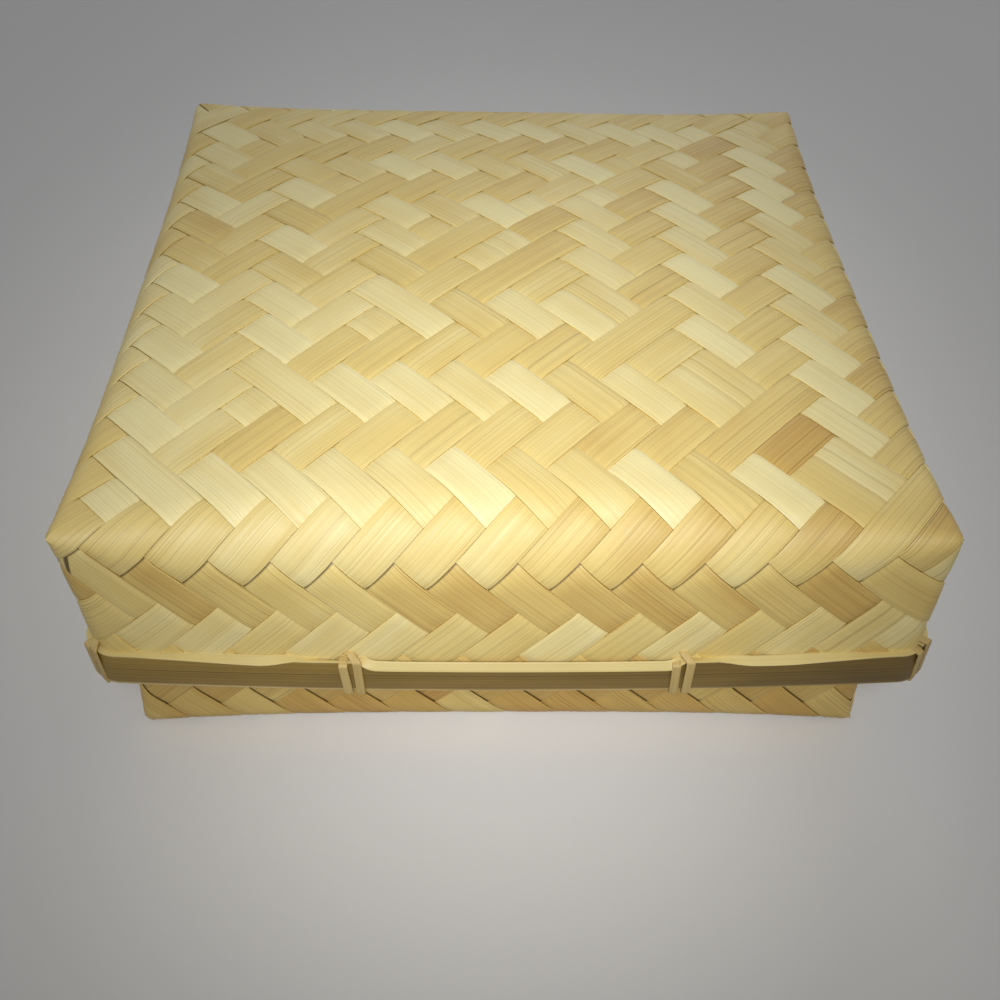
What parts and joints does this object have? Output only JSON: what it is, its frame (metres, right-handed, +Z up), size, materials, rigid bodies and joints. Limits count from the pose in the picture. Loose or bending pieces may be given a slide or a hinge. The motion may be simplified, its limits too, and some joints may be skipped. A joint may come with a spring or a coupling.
{
  "type": "woven bamboo box",
  "caption": "Square twill-woven bamboo box: a shallow base and a lift-off lid that slides over it, both with lashed split-bamboo rims.",
  "frame": {"origin": "centre of the flat underside that the base rests on", "axes": "+Z up through the lid; the side seen in the picture is at -Y"},
  "size_m": [0.2114, 0.2114, 0.087],
  "materials": {
    "woven_bamboo": "bare split bamboo, pale straw, satin",
    "bamboo_bark": "aged olive-brown bamboo bark, satin",
    "split_bamboo": "bare split bamboo, matt",
    "binding_strip": "thin bamboo strip, pale cream, satin"
  },
  "bodies": {
    "base": {"base_woven_mat": "woven_bamboo", "base_rim_outer_band": "bamboo_bark", "base_rim_inner_band": "split_bamboo", "base_runner_front": "binding_strip", "base_runner_right": "binding_strip", "base_runner_back": "binding_strip", "base_runner_left": "binding_strip", "base_lashing_front_1": "binding_strip", "base_lashing_front_2": "binding_strip", "base_lashing_front_right": "binding_strip", "base_lashing_right_1": "binding_strip", "base_lashing_right_2": "binding_strip", "base_lashing_back_right": "binding_strip", "base_lashing_back_1": "binding_strip", "base_lashing_back_2": "binding_strip", "base_lashing_back_left": "binding_strip", "base_lashing_left_1": "binding_strip", "base_lashing_left_2": "binding_strip", "base_lashing_front_left": "binding_strip"},
    "lid": {"lid_woven_mat": "woven_bamboo", "lid_rim_outer_band": "bamboo_bark", "lid_rim_inner_band": "split_bamboo", "lid_runner_front": "binding_strip", "lid_runner_right": "binding_strip", "lid_runner_back": "binding_strip", "lid_runner_left": "binding_strip", "lid_lashing_front_1": "binding_strip", "lid_lashing_front_2": "binding_strip", "lid_lashing_front_right": "binding_strip", "lid_lashing_right_1": "binding_strip", "lid_lashing_right_2": "binding_strip", "lid_lashing_back_right": "binding_strip", "lid_lashing_back_1": "binding_strip", "lid_lashing_back_2": "binding_strip", "lid_lashing_back_left": "binding_strip", "lid_lashing_left_1": "binding_strip", "lid_lashing_left_2": "binding_strip", "lid_lashing_front_left": "binding_strip"}
  },
  "joints": [
    {"name": "lid_lift", "type": "slide", "parent": "base", "child": "lid", "axis": [0, 0, 1], "range_m": [0, 0.06]}
  ]
}
